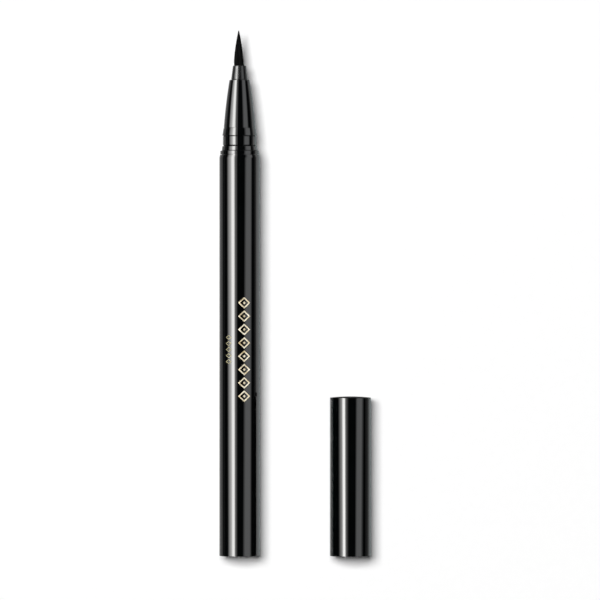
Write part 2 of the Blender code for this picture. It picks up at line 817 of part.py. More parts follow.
gloss_black = new_material("gloss_black", BLACK, 0.08)
satin_black = new_material("satin_black", SOFT_BLACK, 0.32)
soft_black = new_material("soft_black", SOFT_BLACK, 0.45)
brush_black = new_material("brush_black", BRUSH_BLACK, 0.6)
milky_plastic = new_material("milky_plastic", MILKY, 0.35)
white_plastic = new_material("white_plastic", WHITE, 0.4)
rubber = new_material("rubber", RUBBER, 0.7)
steel = new_material("steel", STEEL, 0.2, 1.0)
fibre = new_material("fibre", FIBRE, 0.9)

# The two lie side by side, centred together about the origin.
half_width = (BARREL_RADIUS + AXIS_SPACING + CAP_RADIUS) / 2
pen_x = BARREL_RADIUS - half_width
pen_axis = add_axis("pen_axis", pen_x, -brush_tip / 2, BARREL_RADIUS)
cap_axis = add_axis("cap_axis", pen_x + AXIS_SPACING, -brush_tip / 2, CAP_RADIUS)

make_barrel()
make_tail_plug()
make_ink_tank()
make_tank_plug()
make_tank_gasket()
make_mixing_ball()
make_feed_core()
make_collector()
make_neck_sleeve()
make_front_cone()
make_brush_ferrule()
make_brush_collar()
make_brush()
make_cap_shell()
make_cap_liner()
make_inner_cap()
make_spring()
print(f"pen {brush_tip / MM:.2f} mm, cap {cap_length / MM:.2f} mm")
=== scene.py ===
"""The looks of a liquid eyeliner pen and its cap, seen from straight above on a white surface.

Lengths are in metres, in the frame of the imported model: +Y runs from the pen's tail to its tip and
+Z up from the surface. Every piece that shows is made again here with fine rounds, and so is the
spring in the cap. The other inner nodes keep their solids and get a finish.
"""

import math
import random

import bmesh
import bpy
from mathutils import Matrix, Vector


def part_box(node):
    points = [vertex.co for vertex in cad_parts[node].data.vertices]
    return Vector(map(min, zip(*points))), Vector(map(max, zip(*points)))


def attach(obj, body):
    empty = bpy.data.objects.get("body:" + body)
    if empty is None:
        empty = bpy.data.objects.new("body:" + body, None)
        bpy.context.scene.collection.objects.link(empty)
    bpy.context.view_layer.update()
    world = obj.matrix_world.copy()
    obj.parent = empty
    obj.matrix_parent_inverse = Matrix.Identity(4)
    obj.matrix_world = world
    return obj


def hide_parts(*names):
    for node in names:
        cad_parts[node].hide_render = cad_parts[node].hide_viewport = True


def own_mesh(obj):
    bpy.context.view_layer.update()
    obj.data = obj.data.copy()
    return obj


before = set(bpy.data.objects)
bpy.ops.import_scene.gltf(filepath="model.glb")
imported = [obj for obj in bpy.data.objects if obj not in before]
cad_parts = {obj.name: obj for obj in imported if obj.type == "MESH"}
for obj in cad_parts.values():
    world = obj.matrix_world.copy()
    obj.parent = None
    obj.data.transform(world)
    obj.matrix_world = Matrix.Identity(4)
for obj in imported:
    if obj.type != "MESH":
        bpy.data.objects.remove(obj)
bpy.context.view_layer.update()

MM = 0.001

# Fits between the pieces
FIT_GAP = 0.1 * MM
SEAM_GAP = 0.1 * MM
SEAT_GAP = 0.2 * MM

# Barrel and tail plug
BARREL_WALL = 0.5 * MM
SHOULDER_DROP = 0.14 * MM
SHOULDER_LENGTH = 0.7 * MM
SHOULDER_POWER = 1.15
SHOULDER_RUN_IN = 0.1 * MM
TAIL_ROUND = 0.14 * MM
PLUG_DISC_LENGTH = 1.2 * MM
PLUG_CHAMFER = 0.2 * MM
PLUG_WALL = 0.9 * MM
BARB_HEIGHT = 0.15 * MM
BARB_LENGTH = 0.45 * MM
BARB_PITCH = 1.8 * MM
BARB_COUNT = 3
GATE_RADIUS = 0.6 * MM
GATE_DEPTH = 0.12 * MM

# Neck sleeve
SKIRT_WALL = 0.7 * MM
CHAMBER_SETBACK = 0.9 * MM
FLANGE_LENGTH = 0.9 * MM
COLLAR_LENGTH = 1.1 * MM
COLLAR_TAPER = 0.11 * MM
NECK_DROP = 0.28 * MM
NECK_WALL = 1.1 * MM
RING_GROOVE = 0.26 * MM
NECK_GROOVE = 0.36 * MM
COLLAR_GROOVE = 0.28 * MM
RING_LENGTH = 1.93 * MM
RING_HEIGHT = 0.13 * MM
RING_TAPER = 0.27 * MM
SILL_DEPTH = 0.15 * MM  # of the groove between ring and cone
SILL_GAP = 0.015 * MM

# Front cone and ferrule
CONE_LENGTH = 11.9 * MM
CONE_TRIM = 0.2 * MM
CONE_BULGE = 0.13 * MM
CONE_ROUND = 0.15 * MM
CONE_CAVITY_WALL = 0.8 * MM
CONE_WEB = 1.0 * MM
FERRULE_STEP = 0.42 * MM
FERRULE_TAPER = 0.44 * MM
FERRULE_LENGTH = 3.4 * MM
FERRULE_TRIM = 0.4 * MM
FERRULE_ROUND = 0.12 * MM
FERRULE_LIP = 0.3 * MM
CORE_BORE = 0.9 * MM
BRUSH_FLANGE_RIM = 0.22 * MM
BRUSH_FLANGE_LENGTH = 0.8 * MM
STEM_WALL = 0.26 * MM

# Bristles
BRUSH_DEPTH = 0.6 * MM
BRUSH_LEAN = 0.205 * MM
ROOT_LEAN = 0.1 * MM
LEAN_POWER = 12
TAPER_POWER = 1.65
TIP_SHARE = 0.05
BRISTLE_COUNT = 460
BRISTLE_SIDES = 6
BRISTLE_KNOTS = 14
BRISTLE_FILL_SHARE = 0.92
BRISTLE_SEED = 11
GOLDEN_ANGLE = math.radians(137.508)
WANDER_SHARE = 0.04  # of a bristle's radius
SHORTEST_SHARE = 0.94
LONGEST_SHARE = 0.995
POINT_SHARE = 0.06

# Cap, liner and inner cap
MOUTH_ROUND = 0.08 * MM
CROWN_RISE = 0.27 * MM
CROWN_ROUND = 0.14 * MM
CROWN_LIFT = 0.07 * MM
MOUTH_DEPTH = 1.3 * MM
MOUTH_BORE_DROP = 0.59 * MM
SNAP_BORE_DROP = 0.74 * MM
BEAD_HEIGHT = 0.19 * MM
BEAD_START = 2.3 * MM
BEAD_RAMP = 0.3 * MM
BEAD_LENGTH = 0.5 * MM
SNAP_BORE_DEPTH = 5.6 * MM
CROWN_THICKNESS = 1.2 * MM
BOSS_RADIUS = 2.3 * MM
BOSS_HEIGHT = 1.3 * MM
LIP_CHAMFER = 0.2 * MM
INNER_LIP_CHAMFER = 0.18 * MM
INNER_WALL = 0.4 * MM
INNER_FLANGE_RIM = 0.3 * MM
INNER_FLANGE_LENGTH = 0.8 * MM
INNER_END = 1.0 * MM
WIRE_RADIUS = 0.2 * MM
SPRING_TURNS = 7
END_PITCH = 0.42 * MM  # of the closed turn at either end
TURN_POINTS = 24
WIRE_SIDES = 10

# Gold ornament on the barrel
ORNAMENT_MIDDLE = 79.25 * MM  # from the brush's tip
FOIL_THICKNESS = 0.012 * MM
PINHOLE_SHARE = 0.02  # of a filled lozenge
CHAIN_TURN = math.radians(14)
CHAIN_COUNT = 8
CHAIN_PITCH = 3.3 * MM
CHAIN_LENGTH = 1.42 * MM  # of half a lozenge
CHAIN_BREADTH = 1.55 * MM
CHAIN_STROKE = 0.3 * MM
BEAD_SIZE = 0.34 * MM
SMALL_CHAIN_TURN = math.radians(-32)
SMALL_CHAIN_COUNT = 5
SMALL_CHAIN_PITCH = 1.5 * MM
SMALL_CHAIN_LENGTH = 0.6 * MM
SMALL_CHAIN_BREADTH = 0.88 * MM
SMALL_CHAIN_STROKE = 0.18 * MM

# Camera and light
CAMERA_HEIGHT = 1500 * MM
CAMERA_X = 1.2 * MM
CAMERA_Y = -1.75 * MM
LENS = 361.5
FLOOR_SIZE = 8.0
KEY_STRENGTH = 3.52  # as of a sun
KEY_DISTANCE = 5.0
KEY_TURN = math.radians(-11)  # across, from overhead
KEY_TILT = math.radians(10.5)  # towards the tip
KEY_HALF_ACROSS = math.radians(14.5)
KEY_HALF_ALONG = math.radians(9)
WORLD_STRENGTH = 0.01
BACKDROP_STRENGTH = 0.8
BACKDROP_TOP = math.sin(math.radians(32))
BACKDROP_SIDES = (0.72, 0.88)  # across, as sines
CARD_DISTANCES = {"pen": 0.9, "nose": 0.93, "cap": 0.9}
CARD_LENGTH = 3.2
CARD_ROWS = 128
DRIFT_REACH = 0.1
SWING_REACH = 0.15
CAP_CARD_MIDDLE = -73 * MM  # where the camera sees it in the middle of the cap
WARM = (1.0, 0.995, 0.98)
COOL = (0.97, 0.985, 1.0)

# Softboxes as gloss on each group sees them: (degrees from overhead, radiance)
PEN_LEFT = [
    (-73.3, 0), (-68.2, 1.6), (-61.3, 5), (-49.2, 9.2), (-41, 19.4), (-32, 20.5),
    (-25, 4.5), (-22, 1.8), (-14.5, 1.4), (-12.5, 0),
]
PEN_RIGHT = [(23.5, 0), (38.5, 2.08), (62, 2.05), (74.5, 0)]
CAP_LEFT = [
    (-71, 0), (-64, 1.3), (-57, 3.5), (-48, 6.2), (-41, 21), (-36, 22.5),
    (-32, 21.5), (-27.6, 4.5), (-22.5, 1.9), (-17, 0.8), (-10.5, 0),
]
CAP_RIGHT = [(26.8, 0), (38, 2), (60, 2.05), (71.5, 0.5), (79, 0)]

# How many degrees each softbox's first and last edges drift towards its tail end, and as many the
# other way towards the tip. The slopes at the neck reflect the pen's right softbox further ahead,
# where it also swings out.
PEN_LEFT_DRIFT = (4, 0)
PEN_RIGHT_DRIFT = (-5, -2.3)
PEN_RIGHT_SWING = (5, 9)
NOSE_LEFT_DRIFT = (11, -0.8)
NOSE_RIGHT_DRIFT = (0.5, 4.2)
NO_SWING = (0, 0)
CAP_LEFT_DRIFT = (7.5, 0)
CAP_RIGHT_DRIFT = (-6, -9)

# Dark flags that only gloss sees: on the floor, their (share, shade) stops run outwards from the
# piece, and upright from foot to top
FLAG_HEIGHT = 11 * MM
FLOOR_FLAG_LIFT = 0.05 * MM
PEN_LEFT_REACH = 18 * MM
PEN_LEFT_FLOOR = [(0, 0.4), (1, 0.47)]
PEN_LEFT_WALL = [(0, 0.93), (1, 0.93)]
PEN_RIGHT_REACH = 12 * MM
PEN_RIGHT_FLOOR = [(0, 0.55), (0.25, 0.4), (0.5, 0.2), (1, 0)]
PEN_RIGHT_WALL_REACH = 16.5 * MM
PEN_RIGHT_WALL = [(0, 0), (0.14, 0.35), (0.3, 0.74), (0.58, 0.9), (1, 0.93)]
CAP_LEFT_REACH = 3 * MM
CAP_LEFT_WALL = [(0, 0.5), (0.24, 0.4), (0.44, 0.5), (0.57, 0.5), (0.62, 0.93), (1, 0.93)]
CAP_RIGHT_REACH = 11 * MM
CAP_RIGHT_FLOOR = [(0, 0.7), (0.16, 0.55), (0.5, 0.12), (1, 0.35)]
CAP_RIGHT_WALL = [(0, 0.45), (0.22, 0.68), (0.43, 0.8), (0.62, 0.88), (1, 0.93)]
CROWN_REACH = 1 * MM
CROWN_MARGIN = 5 * MM
CROWN_SHADE = [(0, 0.93), (1, 0.93)]
FLANK_MARGIN = 30 * MM
BLACK = (0, 0, 0)
TEAL = (0, 0.2, 0.21)

# Facets and edges
SIDES = 192
ROOT_SIDES = 96
PROFILE_STEPS = 12
CONE_STEPS = 24
LOZENGE_STEPS = 6
ROUND_STEP = math.radians(15)
ROUND_RUN_OUT = 1.3
SHARP_ANGLE = math.radians(40)
WELD_DISTANCE = 0.0001 * MM
EDGE_ROUND = 0.05 * MM
SEAM_ROUND = 0.03 * MM

# The middle part of a noise's range, which most of it falls in
NOISE_LOW = 0.3
NOISE_HIGH = 0.7


def axis_of(node):
    """The x and z of a node's own axis, which runs along Y."""
    low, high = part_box(node)
    return (low.x + high.x) / 2, (low.z + high.z) / 2


def half_width(node):
    low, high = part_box(node)
    return (high.x - low.x) / 2


def ends(node):
    """Where a node starts and ends along Y."""
    low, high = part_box(node)
    return low.y, high.y


pen_axis = axis_of("barrel")
cap_axis = axis_of("cap_shell")
tail, mouth = ends("barrel")
sleeve_back, sleeve_front = ends("neck_sleeve")
cone_spigot_back, cone_end = ends("front_cone")
stem_back, ferrule_end = ends("brush_ferrule")
brush_back, brush_tip = ends("brush")
cap_mouth, crown = ends("cap_shell")
cone_front = cone_end - CONE_TRIM
ferrule_front = ferrule_end - FERRULE_TRIM
barrel_radius = half_width("barrel")
barrel_bore = barrel_radius - BARREL_WALL
skirt_radius = barrel_bore - FIT_GAP
chamber_radius = skirt_radius - SKIRT_WALL
neck_radius = skirt_radius - NECK_DROP
ring_radius = neck_radius + RING_HEIGHT
spigot_bore = neck_radius - NECK_WALL
cone_radius = half_width("front_cone")
ferrule_back_radius = half_width("brush_ferrule")
ferrule_front_radius = ferrule_back_radius - FERRULE_TAPER
ferrule_bore = ferrule_front_radius - FERRULE_LIP
brush_radius = ferrule_bore - FIT_GAP
cone_front_radius = ferrule_back_radius + FERRULE_STEP
brush_length = brush_tip - ferrule_front
counterbore = brush_radius + BRUSH_FLANGE_RIM + FIT_GAP
stem_radius = counterbore + STEM_WALL
cap_radius = half_width("cap_shell")


lit = {group: bpy.data.collections.new("lit_" + group) for group in ("pen", "nose", "cap")}


# Turning

def rounded(corners):
    """The (radius, y) points of an outline whose (radius, y, round) corners become arcs.

    Each arc has a point just beyond either end, so that the smooth shading of the long faces
    beside it stays straight.
    """
    points = []
    count = len(corners)
    for i, (radius, y, size) in enumerate(corners):
        if size == 0:
            points.append((radius, y))
            continue
        corner = Vector((radius, y))
        back = (Vector(corners[i - 1][:2]) - corner).normalized()
        ahead = (Vector(corners[(i + 1) % count][:2]) - corner).normalized()
        half = back.angle(ahead) / 2
        reach = size / math.tan(half)
        centre = corner + (back + ahead).normalized() * size / math.sin(half)
        first = corner + back * reach - centre
        last = corner + ahead * reach - centre
        start = math.atan2(first.y, first.x)
        sweep = (math.atan2(last.y, last.x) - start + math.pi) % math.tau - math.pi
        steps = max(2, math.ceil(abs(sweep) / ROUND_STEP))
        points.append(tuple(corner + back * reach * ROUND_RUN_OUT))
        for k in range(steps + 1):
            turn = start + sweep * k / steps
            points.append((centre.x + size * math.cos(turn), centre.y + size * math.sin(turn)))
        points.append(tuple(corner + ahead * reach * ROUND_RUN_OUT))
    return points


def turned(name, outline, axis, sides=SIDES):
    """A closed mesh object turned about a line along Y from (radius, y) points."""
    x, z = axis
    shape = bmesh.new()
    profile = [shape.verts.new((x + radius, y, z)) for radius, y in outline]
    edges = [shape.edges.new(pair) for pair in zip(profile, profile[1:])]
    if outline[0][0] > 0:
        edges.append(shape.edges.new((profile[-1], profile[0])))
    bmesh.ops.spin(
        shape, geom=profile + edges, cent=(x, 0, z), axis=(0, 1, 0), angle=math.tau,
        steps=sides, use_merge=True,
    )
    bmesh.ops.remove_doubles(shape, verts=shape.verts, dist=WELD_DISTANCE)
    bmesh.ops.recalc_face_normals(shape, faces=shape.faces)
    return add_mesh(name, shape)


def add_mesh(name, shape):
    mesh = bpy.data.meshes.new(name)
    shape.to_mesh(mesh)
    shape.free()
    mesh.shade_smooth()
    mesh.set_sharp_from_angle(angle=SHARP_ANGLE)
    obj = bpy.data.objects.new(name, mesh)
    bpy.context.scene.collection.objects.link(obj)
    return obj


def finish_piece(obj, body, node, material, group=None):
    """Give a piece its material, its light and its body, and hide the node that it stands for."""
    obj.data.materials.append(material)
    lit[group or ("pen" if body == "pen" else "cap")].objects.link(obj)
    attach(obj, body)
    if node:
        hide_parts(node)


# Materials

def new_material(name, **settings):
    """A Principled material, with its tree and its shader."""
    material = bpy.data.materials.new(name)
    material.use_nodes = True
    tree = material.node_tree
    shader = tree.nodes["Principled BSDF"]
    for key, value in settings.items():
        shader.inputs[key.replace("_", " ").title().replace("Ior", "IOR")].default_value = value
    return material, tree, shader


def add_noise(tree, size, detail=2.0, stretch=(1, 1, 1)):
    """A noise over the piece's own coordinates, whose grains are this size and stretched so."""
    coordinates = tree.nodes.new("ShaderNodeTexCoord")
    mapping = tree.nodes.new("ShaderNodeMapping")
    mapping.inputs["Scale"].default_value = [1 / s for s in stretch]
    noise = tree.nodes.new("ShaderNodeTexNoise")
    noise.inputs["Scale"].default_value = 1 / size
    noise.inputs["Detail"].default_value = detail
    tree.links.new(coordinates.outputs["Object"], mapping.inputs["Vector"])
    tree.links.new(mapping.outputs["Vector"], noise.inputs["Vector"])
    return noise.outputs["Fac"]


def map_to(tree, factor, low, high, socket):
    """Drive a number socket from low to high with a factor."""
    spread = tree.nodes.new("ShaderNodeMapRange")
    spread.inputs["From Min"].default_value = NOISE_LOW
    spread.inputs["From Max"].default_value = NOISE_HIGH
    spread.inputs["To Min"].default_value = low
    spread.inputs["To Max"].default_value = high
    tree.links.new(factor, spread.inputs["Value"])
    tree.links.new(spread.outputs["Result"], socket)


def mix_colours(tree, factor, low, high, socket):
    """Drive a colour socket from one colour to another with a factor."""
    ramp = tree.nodes.new("ShaderNodeValToRGB")
    ramp.color_ramp.elements[0].position = NOISE_LOW
    ramp.color_ramp.elements[0].color = (*low, 1)
    ramp.color_ramp.elements[1].position = NOISE_HIGH
    ramp.color_ramp.elements[1].color = (*high, 1)
    tree.links.new(factor, ramp.inputs["Fac"])
    tree.links.new(ramp.outputs["Color"], socket)


def add_bumps(tree, shader, *layers):
    """Stack bumps, each a (height factor, height in metres), on the shader's normal."""
    normal = None
    for factor, height in layers:
        bump = tree.nodes.new("ShaderNodeBump")
        bump.inputs["Distance"].default_value = height
        tree.links.new(factor, bump.inputs["Height"])
        if normal:
            tree.links.new(normal, bump.inputs["Normal"])
        normal = bump.outputs["Normal"]
    tree.links.new(normal, shader.inputs["Normal"])


def make_gloss_black():
    """Polished black plastic: a faint haze of handling, hairlines and a slow mould waviness."""
    material, tree, shader = new_material("gloss_black", ior=1.5)
    haze = add_noise(tree, 5 * MM, 3)
    hairlines = add_noise(tree, 0.25 * MM, 2, (1, 30, 1))
    waviness = add_noise(tree, 14 * MM, 1)
    mix_colours(
        tree, haze, (0.0008, 0.0011, 0.0012), (0.0012, 0.0016, 0.0018), shader.inputs["Base Color"]
    )
    map_to(tree, haze, 0.035, 0.055, shader.inputs["Roughness"])
    add_bumps(tree, shader, (waviness, 0.002 * MM), (hairlines, 0.00004 * MM))
    return material


def make_satin_black():
    """Black plastic with the fine grain of a spark-eroded mould."""
    material, tree, shader = new_material("satin_black", ior=1.5, specular_ior_level=0.42)
    grain = add_noise(tree, 0.12 * MM, 4)
    patches = add_noise(tree, 1.5 * MM, 2)
    mix_colours(
        tree, patches, (0.004, 0.0042, 0.0045), (0.007, 0.0072, 0.0075), shader.inputs["Base Color"]
    )
    map_to(tree, patches, 0.18, 0.25, shader.inputs["Roughness"])
    add_bumps(tree, shader, (grain, 0.0004 * MM))
    return material


def make_soft_black():
    material, tree, shader = new_material("soft_black", ior=1.5)
    grain = add_noise(tree, 0.2 * MM, 4)
    patches = add_noise(tree, 2 * MM, 2)
    mix_colours(
        tree, patches, (0.010, 0.011, 0.012), (0.016, 0.017, 0.018), shader.inputs["Base Color"]
    )
    map_to(tree, patches, 0.38, 0.5, shader.inputs["Roughness"])
    add_bumps(tree, shader, (grain, 0.003 * MM))
    return material


def make_bristle_black():
    """Fine synthetic hair, wet with ink: streaks run along the bristles."""
    material, tree, shader = new_material("bristle_black", ior=1.4, specular_ior_level=0.04)
    streaks = add_noise(tree, 0.12 * MM, 3, (1, 25, 1))
    mix_colours(
        tree, streaks, (0.001, 0.001, 0.001), (0.003, 0.0029, 0.003), shader.inputs["Base Color"]
    )
    map_to(tree, streaks, 0.5, 0.7, shader.inputs["Roughness"])
    return material


def make_milky_plastic():
    material, tree, shader = new_material("milky_plastic", subsurface_weight=0.4, ior=1.49)
    shader.inputs["Subsurface Scale"].default_value = 1 * MM
    clouds = add_noise(tree, 3 * MM, 3)
    grain = add_noise(tree, 0.15 * MM, 2)
    mix_colours(tree, clouds, (0.68, 0.70, 0.69), (0.76, 0.78, 0.77), shader.inputs["Base Color"])
    map_to(tree, clouds, 0.28, 0.4, shader.inputs["Roughness"])
    add_bumps(tree, shader, (grain, 0.002 * MM))
    return material


def make_white_plastic():
    material, tree, shader = new_material("white_plastic", ior=1.5)
    patches = add_noise(tree, 2 * MM, 2)
    grain = add_noise(tree, 0.15 * MM, 3)
    mix_colours(tree, patches, (0.82, 0.82, 0.80), (0.87, 0.87, 0.85), shader.inputs["Base Color"])
    map_to(tree, patches, 0.34, 0.46, shader.inputs["Roughness"])
    add_bumps(tree, shader, (grain, 0.003 * MM))
    return material


def make_rubber():
    material, tree, shader = new_material("rubber", ior=1.5)
    grain = add_noise(tree, 0.1 * MM, 5)
    mix_colours(tree, grain, (0.04, 0.04, 0.045), (0.06, 0.06, 0.065), shader.inputs["Base Color"])
    map_to(tree, grain, 0.62, 0.78, shader.inputs["Roughness"])
    add_bumps(tree, shader, (grain, 0.01 * MM))
    return material


def make_steel():
    """Drawn stainless steel, with fine lines from the die."""
    material, tree, shader = new_material("steel", metallic=1.0)
    lines = add_noise(tree, 0.04 * MM, 3, (1, 12, 1))
    mix_colours(tree, lines, (0.58, 0.59, 0.61), (0.66, 0.67, 0.69), shader.inputs["Base Color"])
    map_to(tree, lines, 0.15, 0.28, shader.inputs["Roughness"])
    add_bumps(tree, shader, (lines, 0.0005 * MM))
    return material


def make_fibre():
    """Bonded polyester fibres along the rod, stained by the ink."""
    material, tree, shader = new_material("fibre", ior=1.5)
    strands = add_noise(tree, 0.05 * MM, 3, (1, 30, 1))
    stain = add_noise(tree, 4 * MM, 3)
    mix_colours(tree, stain, (0.02, 0.019, 0.021), (0.16, 0.15, 0.16), shader.inputs["Base Color"])
    map_to(tree, strands, 0.8, 0.95, shader.inputs["Roughness"])
    add_bumps(tree, shader, (strands, 0.02 * MM))
    return material


def make_gold_foil():
    """Hot-stamped foil: part mirror, part pigment, which turns from cream to a deeper gold."""
    material, tree, shader = new_material("gold_foil", metallic=0.4)
    grain = add_noise(tree, 0.3 * MM, 4)
    turns = add_noise(tree, 1.3 * MM, 2)
    mix_colours(tree, turns, (0.56, 0.44, 0.24), (0.91, 0.845, 0.68), shader.inputs["Base Color"])
    map_to(tree, grain, 0.28, 0.42, shader.inputs["Roughness"])
    add_bumps(tree, shader, (grain, 0.001 * MM))
    return material


def make_gold_ink():
    """Matt gold pigment, thinner and duller than the foil."""
    material, tree, shader = new_material("gold_ink", specular_ior_level=0.2)
    grain = add_noise(tree, 0.25 * MM, 4)
    mix_colours(tree, grain, (0.26, 0.23, 0.115), (0.36, 0.33, 0.19), shader.inputs["Base Color"])
    map_to(tree, grain, 0.5, 0.65, shader.inputs["Roughness"])
    add_bumps(tree, shader, (grain, 0.002 * MM))
    return material


# Pieces of the pen

def make_barrel():
    shoulder = []
    for i in range(1, PROFILE_STEPS):
        share = 1 - i / PROFILE_STEPS
        drop = SHOULDER_DROP * share**SHOULDER_POWER
        shoulder.append((barrel_radius - drop, mouth - SHOULDER_LENGTH * (1 - share), 0))
    corners = [
        (barrel_bore, tail, EDGE_ROUND),
        (barrel_bore, mouth, EDGE_ROUND),
        (barrel_radius - SHOULDER_DROP, mouth, SEAM_ROUND),
        *shoulder,
        (barrel_radius, mouth - SHOULDER_LENGTH - SHOULDER_RUN_IN, 0),
        (barrel_radius, tail, TAIL_ROUND),
    ]
    barrel = turned("pen_barrel", rounded(corners), pen_axis)
    finish_piece(barrel, "pen", "barrel", gloss_black)


def make_tail_plug():
    """The plug's disc closes the barrel, with the small dimple of its moulding gate."""
    rim = barrel_bore - FIT_GAP
    root = rim - BARB_HEIGHT
    end = ends("tail_plug")[1]
    socket = half_width("tail_plug") - PLUG_WALL
    corners = [
        (0, tail + GATE_DEPTH, 0),
        (GATE_RADIUS, tail + GATE_DEPTH, GATE_DEPTH / 2),
        (GATE_RADIUS + GATE_DEPTH, tail, GATE_DEPTH / 2),
        (rim, tail, PLUG_CHAMFER),
        (rim, tail + PLUG_DISC_LENGTH, EDGE_ROUND),
        (root, tail + PLUG_DISC_LENGTH, EDGE_ROUND),
    ]
    for i in range(BARB_COUNT):
        barb = tail + PLUG_DISC_LENGTH + (i + 1) * BARB_PITCH
        corners += [
            (root, barb - BARB_LENGTH, EDGE_ROUND),
            (rim, barb - BARB_HEIGHT, EDGE_ROUND),
            (root, barb, EDGE_ROUND),
        ]
    corners += [
        (root, end, EDGE_ROUND),
        (socket, end, EDGE_ROUND),
        (socket, tail + PLUG_DISC_LENGTH, EDGE_ROUND),
        (0, tail + PLUG_DISC_LENGTH, 0),
    ]
    plug = turned("pen_tail_plug", rounded(corners), pen_axis)
    finish_piece(plug, "pen", "tail_plug", soft_black)


def make_neck_sleeve():
    """The middle joint: flange, tapered collar, straight neck with its groove, and snap ring."""
    flange_radius = half_width("neck_sleeve")
    flange_back = mouth + SEAM_GAP
    collar_back = flange_back + FLANGE_LENGTH
    neck_back = collar_back + COLLAR_LENGTH
    ring_back = sleeve_front - RING_LENGTH
    sill_radius = ring_radius - RING_TAPER - SILL_DEPTH
    sill_front = sleeve_front + SEAM_GAP - SILL_GAP
    shoulder = flange_back - CHAMBER_SETBACK
    corners = [
        (skirt_radius, sleeve_back, EDGE_ROUND),
        (skirt_radius, flange_back, 0),
        (flange_radius, flange_back, SEAM_ROUND),
        (flange_radius, collar_back, SEAM_ROUND * 2),
        (skirt_radius - COLLAR_GROOVE / 2, collar_back, 0),
        (skirt_radius, collar_back + COLLAR_GROOVE / 2, SEAM_ROUND),
        (skirt_radius - COLLAR_TAPER, neck_back, SEAM_ROUND),
        (neck_radius - NECK_GROOVE / 2, neck_back + NECK_GROOVE / 2, 0),
        (neck_radius, neck_back + NECK_GROOVE, SEAM_ROUND),
        (neck_radius, ring_back - RING_GROOVE / 2, SEAM_ROUND),
        (neck_radius - RING_GROOVE / 2, ring_back, 0),
        (ring_radius, ring_back + RING_GROOVE / 2, SEAM_ROUND),
        (ring_radius - RING_TAPER, sleeve_front, SEAM_ROUND),
        (sill_radius, sleeve_front, 0),
        (sill_radius, sill_front, 0),
        (spigot_bore, sill_front, 0),
        (spigot_bore, shoulder, EDGE_ROUND),
        (chamber_radius, shoulder, EDGE_ROUND),
        (chamber_radius, sleeve_back, EDGE_ROUND),
    ]
    sleeve = turned("pen_neck_sleeve", rounded(corners), pen_axis)
    finish_piece(sleeve, "pen", "neck_sleeve", gloss_black)


def make_front_cone():
    """The tapered nose, slightly barrelled, with a soft round at its front."""
    base = cone_front - CONE_LENGTH
    profile = []
    for i in range(1, CONE_STEPS):
        share = i / CONE_STEPS
        straight = cone_radius + (cone_front_radius - cone_radius) * share
        bulge = 4 * CONE_BULGE * share * (1 - share)
        profile.append((straight + bulge, base + CONE_LENGTH * share, 0))
    spigot = spigot_bore - FIT_GAP
    cavity = spigot - CONE_CAVITY_WALL
    socket = stem_radius + FIT_GAP
    floor = stem_back - SEAT_GAP
    corners = [
        (spigot, cone_spigot_back, EDGE_ROUND),
        (spigot, base, SEAM_ROUND),
        (cone_radius, base, SEAM_ROUND),
        *profile,
        (cone_front_radius, cone_front, CONE_ROUND),
        (socket, cone_front, EDGE_ROUND),
        (socket, floor, EDGE_ROUND),
        (CORE_BORE, floor, EDGE_ROUND),
        (CORE_BORE, floor - CONE_WEB, EDGE_ROUND),
        (cavity, floor - CONE_WEB, EDGE_ROUND),
        (cavity, cone_spigot_back, EDGE_ROUND),
    ]
    cone = turned("pen_front_cone", rounded(corners), pen_axis)
    finish_piece(cone, "pen", "front_cone", gloss_black, "nose")


def make_ferrule():
    """The small sleeve round the brush's root."""
    back = ferrule_front - FERRULE_LENGTH
    shoulder = brush_back + BRUSH_FLANGE_LENGTH + SEAT_GAP
    corners = [
        (stem_radius, stem_back, EDGE_ROUND),
        (stem_radius, back, SEAM_ROUND),
        (ferrule_back_radius, back, SEAM_ROUND * 2),
        (ferrule_front_radius, ferrule_front, FERRULE_ROUND),
        (ferrule_bore, ferrule_front, EDGE_ROUND),
        (ferrule_bore, shoulder, EDGE_ROUND),
        (counterbore, shoulder, EDGE_ROUND),
        (counterbore, stem_back, EDGE_ROUND),
    ]
    ferrule = turned("pen_brush_ferrule", rounded(corners), pen_axis)
    finish_piece(ferrule, "pen", "brush_ferrule", satin_black, "nose")


def bundle_share(share):
    """The bundle's radius as a share of its root's, this share of the way to the tip."""
    return TIP_SHARE + (1 - TIP_SHARE) * (1 - max(share, 0) ** TAPER_POWER)


def bundle_lean(share):
    """How far the bundle leans to the left there."""
    return BRUSH_LEAN - (BRUSH_LEAN - ROOT_LEAN) * (1 - max(share, 0)) ** LEAN_POWER


